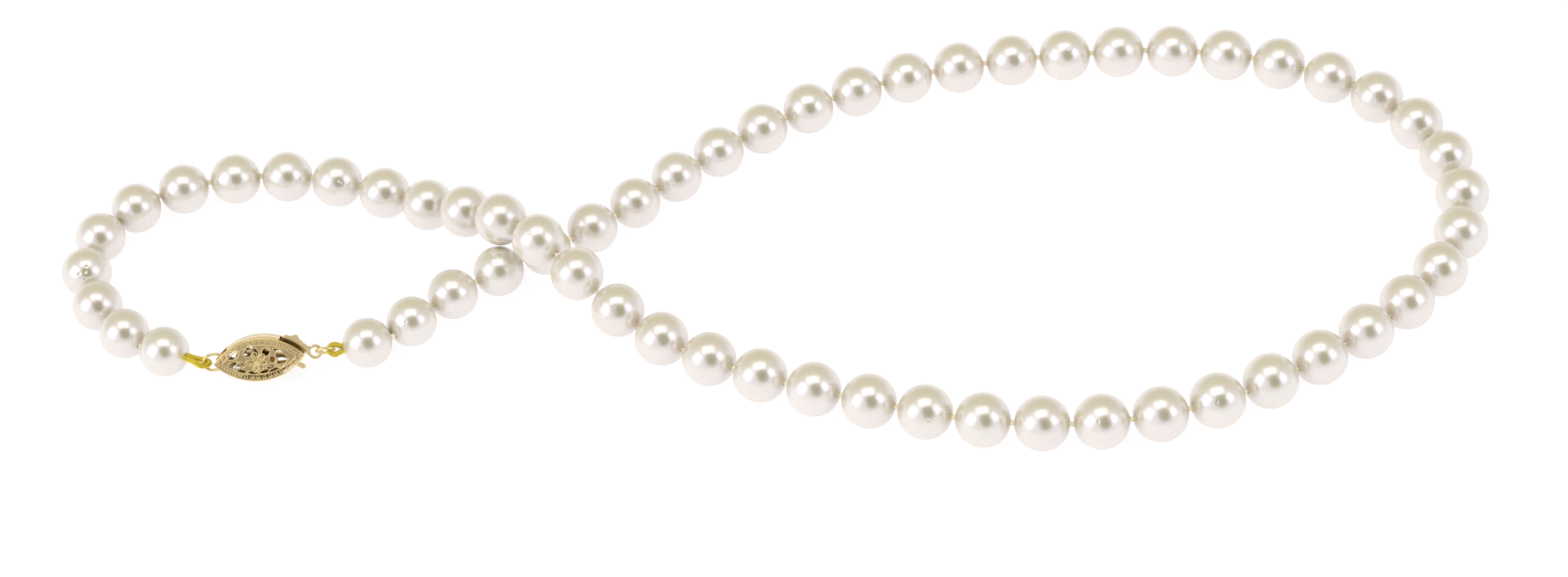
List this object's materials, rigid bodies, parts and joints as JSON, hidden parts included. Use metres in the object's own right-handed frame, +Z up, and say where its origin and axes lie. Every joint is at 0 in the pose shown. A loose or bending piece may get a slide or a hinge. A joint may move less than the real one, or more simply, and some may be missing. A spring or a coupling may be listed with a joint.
{
  "type": "pearl necklace",
  "caption": "Knotted strand of graduated round pearls laid in a figure of eight and closed by a pointed oval filigree clasp with a hook, rings and gimps.",
  "frame": {"origin": "centre of the necklace's box in plan, at the surface it lies on", "axes": "+X from the clasp's small loop to the large loop, +Z up"},
  "size_m": [0.192, 0.0777, 0.013],
  "materials": {
    "pearl": "gloss",
    "silk": "matte",
    "gold": "polished",
    "gimp": "satin"
  },
  "bodies": {
    "crossing": {"pearls_over": "pearl", "silk_over": "silk", "pearls_under": "pearl", "silk_under": "silk"},
    "near_a": {"pearls_front_1": "pearl", "silk_front_1": "silk", "pearls_back_1": "pearl", "silk_back_1": "silk"},
    "near_b": {"pearls_front_2": "pearl", "silk_front_2": "silk", "pearls_back_2": "pearl", "silk_back_2": "silk"},
    "back_link": {"pearls_back_3": "pearl", "silk_back_3": "silk"},
    "front_link": {"pearls_front_3": "pearl", "silk_front_3": "silk"},
    "far": {"pearls_front_4": "pearl", "silk_front_4": "silk", "pearls_back_4": "pearl", "silk_back_4": "silk"},
    "tip_a": {"pearls_front_5": "pearl", "silk_front_5": "silk", "pearls_back_5": "pearl", "silk_back_5": "silk"},
    "tip_b": {"pearls_right_end": "pearl", "silk_right_end": "silk"},
    "left_near": {"pearls_left_back": "pearl", "silk_left_back": "silk", "pearls_left_front": "pearl", "silk_left_front": "silk"},
    "left_far": {"pearls_left_mid": "pearl", "silk_left_mid": "silk", "pearls_last": "pearl", "silk_last": "silk", "gimp_right": "gimp"},
    "left_end": {"pearls_left_end": "pearl", "silk_left_end": "silk"},
    "first": {"pearls_first": "pearl", "silk_first": "silk", "gimp_left": "gimp"},
    "ring_left": {"ring_left": "gold"},
    "box": {"clasp_front": "gold", "clasp_back": "gold", "clasp_band_upper": "gold", "clasp_band_lower": "gold", "ring_bar": "gold", "hook_bar": "gold"},
    "hook": {"hook": "gold"},
    "ring_right": {"ring_right": "gold"}
  },
  "joints": [
    {"name": "near_fold", "type": "hinge", "parent": "crossing", "child": "near_a", "pos_m": [0.00023, -0.02254, 0.00357], "axis": [0.0611, -0.9981, 0.0023], "range_deg": [0, 35]},
    {"name": "middle_fold", "type": "hinge", "parent": "near_a", "child": "near_b", "pos_m": [0.014, -0.02885, 0.00358], "axis": [0.0562, -0.9984, 0.0016], "range_deg": [0, 35]},
    {"name": "sway", "type": "hinge", "parent": "near_b", "child": "back_link", "pos_m": [0.03246, 0.03527, 0.00352], "axis": [0, 0, 1], "range_deg": [-12, 12]},
    {"name": "front_sway", "type": "hinge", "parent": "near_b", "child": "front_link", "pos_m": [0.02832, -0.03381, 0.00359], "axis": [0, 0, 1], "range_deg": [-12, 12]},
    {"name": "far_sway", "type": "hinge", "parent": "back_link", "child": "far", "pos_m": [0.0549, 0.03435, 0.00355], "axis": [0, 0, 1], "range_deg": [-12, 12]},
    {"name": "far_fold", "type": "hinge", "parent": "far", "child": "tip_a", "pos_m": [0.07214, -0.02634, 0.0036], "axis": [0.0481, -0.9988, 0.0006], "range_deg": [0, 35]},
    {"name": "tip_fold", "type": "hinge", "parent": "tip_a", "child": "tip_b", "pos_m": [0.0894, -0.01167, 0.0036], "axis": [-0.0653, -0.9979, 0.0004], "range_deg": [0, 35]},
    {"name": "left_turn", "type": "hinge", "parent": "crossing", "child": "left_near", "pos_m": [-0.03323, 0.00573, 0.00662], "axis": [0, 0, 1], "range_deg": [0, 20]},
    {"name": "left_fold", "type": "hinge", "parent": "left_near", "child": "left_far", "pos_m": [-0.0488, 0.01987, 0.00349], "axis": [-0.1342, 0.9909, 0.0064], "range_deg": [0, 28]},
    {"name": "clasp_open", "type": "hinge", "parent": "left_far", "child": "left_end", "pos_m": [-0.07635, 0.02782, 0.00343], "axis": [0, 0, -1], "range_deg": [0, 11.2]},
    {"name": "first_pearl_turn", "type": "hinge", "parent": "left_end", "child": "first", "pos_m": [-0.08466, -0.00284, 0.00333], "axis": [0, 0, -1], "range_deg": [0, 4.48]},
    {"name": "ring_turn", "type": "hinge", "parent": "first", "child": "ring_left", "pos_m": [-0.0761, -0.0075, 0.00345], "axis": [0, 0, -1], "range_deg": [-15.68, 0]},
    {"name": "clasp_roll", "type": "hinge", "parent": "ring_left", "child": "box", "pos_m": [-0.0686, -0.0075, 0.00345], "axis": [1, 0, 0], "range_deg": [-30, 30]},
    {"name": "hook_roll", "type": "hinge", "parent": "left_far", "child": "hook", "pos_m": [-0.0686, -0.0075, 0.00345], "axis": [1, 0, 0], "range_deg": [-30, 30]},
    {"name": "ring_right_roll", "type": "hinge", "parent": "left_far", "child": "ring_right", "pos_m": [-0.0686, -0.0075, 0.00345], "axis": [1, 0, 0], "range_deg": [-15, 15]}
  ],
  "couplings": [
    {"joint": "front_sway", "follows": "sway", "ratio": 1},
    {"joint": "far_sway", "follows": "sway", "ratio": -1},
    {"joint": "first_pearl_turn", "follows": "clasp_open", "ratio": 0.4},
    {"joint": "ring_turn", "follows": "clasp_open", "ratio": -1.4},
    {"joint": "hook_roll", "follows": "clasp_roll", "ratio": 1},
    {"joint": "ring_right_roll", "follows": "clasp_roll", "ratio": 0.5}
  ]
}
